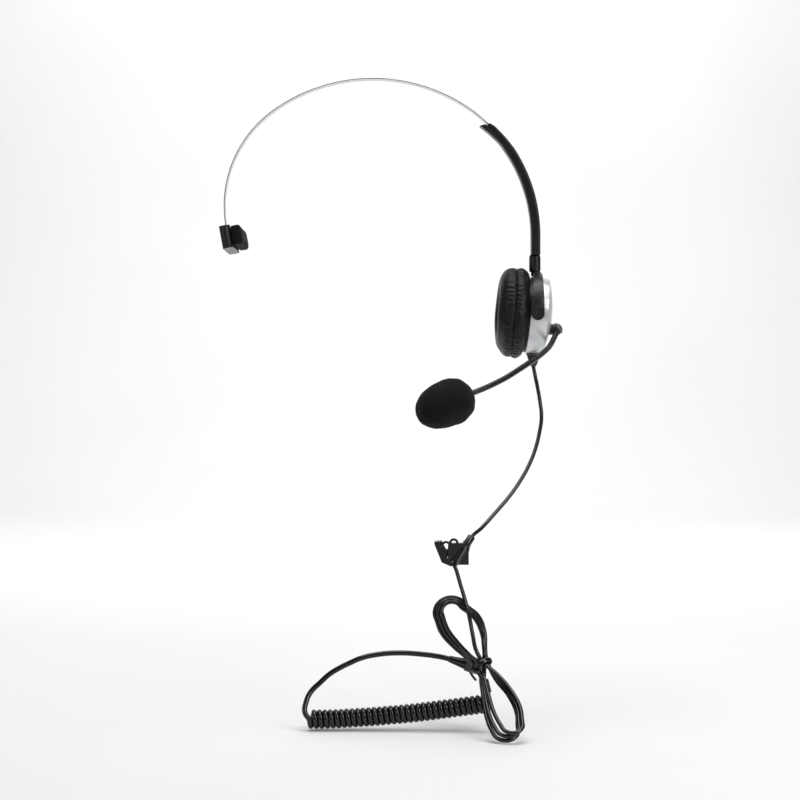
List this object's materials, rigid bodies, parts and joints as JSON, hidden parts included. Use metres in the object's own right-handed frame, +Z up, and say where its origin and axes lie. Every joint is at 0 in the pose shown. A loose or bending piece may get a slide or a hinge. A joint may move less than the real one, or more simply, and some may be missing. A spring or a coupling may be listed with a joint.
{
  "type": "office headset",
  "caption": "Single-ear telephone headset with a sliding spring headband, temple pad, padded ear cup, rotating microphone boom, garment clip and curly cord with a handset plug.",
  "frame": {"origin": "centre of the ear cushion's face, where it rests on the ear", "axes": "+X out from the ear, -Y forwards in the direction the wearer looks, +Z up"},
  "size_m": [0.2063, 0.1712, 0.3762],
  "materials": {
    "cushion_leatherette": "satin",
    "black_abs": "satin",
    "silver_satin": "satin",
    "spring_steel": "brushed",
    "bright_steel": "plain",
    "grey_cap": "satin",
    "dark_magnet": "plain",
    "film": "gloss",
    "copper_wire": "plain",
    "board_green": "satin",
    "black_cloth": "matte",
    "pad_foam": "matte",
    "boom_sleeve": "satin",
    "windscreen_foam": "matte",
    "cord_pvc": "gloss",
    "clip_plastic": "gloss",
    "plug_plastic": "gloss",
    "gold_contacts": "plain"
  },
  "bodies": {
    "ear_cup": {"ear_cushion": "cushion_leatherette", "cushion_ring": "black_abs", "acoustic_cloth": "black_cloth", "baffle": "black_abs", "speaker_frame": "black_abs", "diaphragm": "film", "voice_coil": "copper_wire", "pole_plate": "bright_steel", "magnet": "dark_magnet", "magnet_pot": "bright_steel", "terminal_board": "board_green", "cup_screws": "bright_steel", "cup_shell": "silver_satin", "cup_face": "silver_satin", "strain_relief": "cord_pvc", "cord_anchor": "black_abs", "boom_base": "black_abs", "upper_cord": "cord_pvc", "clip_body": "clip_plastic", "clip_cord_holder": "clip_plastic", "clip_pin": "bright_steel", "clip_spring": "spring_steel", "lower_cord": "cord_pvc", "cord_hank": "cord_pvc", "hank_tie": "cord_pvc", "cord_junction": "cord_pvc", "curly_cord": "cord_pvc", "tail_cord": "cord_pvc", "plug_relief": "cord_pvc", "plug_body": "plug_plastic", "plug_contacts": "gold_contacts"},
    "yoke": {"yoke": "black_abs", "pivot_pins": "bright_steel"},
    "arm": {"arm_outer_shell": "black_abs", "arm_inner_shell": "black_abs", "arm_collar": "black_abs", "arm_screw": "bright_steel", "slide_spring": "spring_steel", "swivel_clip": "spring_steel"},
    "headband": {"headband_spring": "spring_steel", "band_stop": "black_abs", "pad_bracket": "black_abs"},
    "pad_rest": {"pad_holder": "black_abs", "pad_pin": "bright_steel", "temple_pad": "pad_foam"},
    "boom": {"boom_hub": "black_abs", "boom_cap": "grey_cap", "boom_axle": "bright_steel", "boom_clip": "spring_steel", "boom_tube": "boom_sleeve", "boom_ferrule": "black_abs", "mic_housing": "black_abs", "mic_capsule": "bright_steel", "mic_seal": "pad_foam", "windscreen": "windscreen_foam"},
    "clip_jaw": {"clip_lever": "clip_plastic"},
    "latch": {"plug_latch": "plug_plastic"}
  },
  "joints": [
    {"name": "cup_tilt", "type": "hinge", "parent": "ear_cup", "child": "yoke", "pos_m": [0.02339, 0, -0.00225], "axis": [0, 1, 0], "range_deg": [-2, 18]},
    {"name": "yoke_swivel", "type": "hinge", "parent": "yoke", "child": "arm", "pos_m": [0.0229, 0, 0.03], "axis": [0, 0, 1], "range_deg": [-25, 25]},
    {"name": "band_slide", "type": "hinge", "parent": "arm", "child": "headband", "pos_m": [-0.0702, 0, 0.0461], "axis": [0, 1, 0], "range_deg": [-13, 9]},
    {"name": "pad_tilt", "type": "hinge", "parent": "headband", "child": "pad_rest", "pos_m": [-0.16273, 0, 0.04545], "axis": [0, 1, 0], "range_deg": [-10, 10]},
    {"name": "boom_rotate", "type": "hinge", "parent": "ear_cup", "child": "boom", "pos_m": [0.03573, 0, -0.01077], "axis": [-0.9954, 0, 0.0958], "range_deg": [-30, 40]},
    {"name": "clip_squeeze", "type": "hinge", "parent": "ear_cup", "child": "clip_jaw", "pos_m": [-0.0286, -0.0575, -0.141], "axis": [0, 1, 0], "range_deg": [0, 25], "stiffness_Nm_per_rad": 0.06, "springref_deg": -11.46},
    {"name": "latch_press", "type": "hinge", "parent": "ear_cup", "child": "latch", "pos_m": [-0.01024, -0.09014, -0.19952], "axis": [-0.0537, -0.9986, 0], "range_deg": [0, 3.5], "stiffness_Nm_per_rad": 0.02, "springref_deg": -2.86}
  ]
}
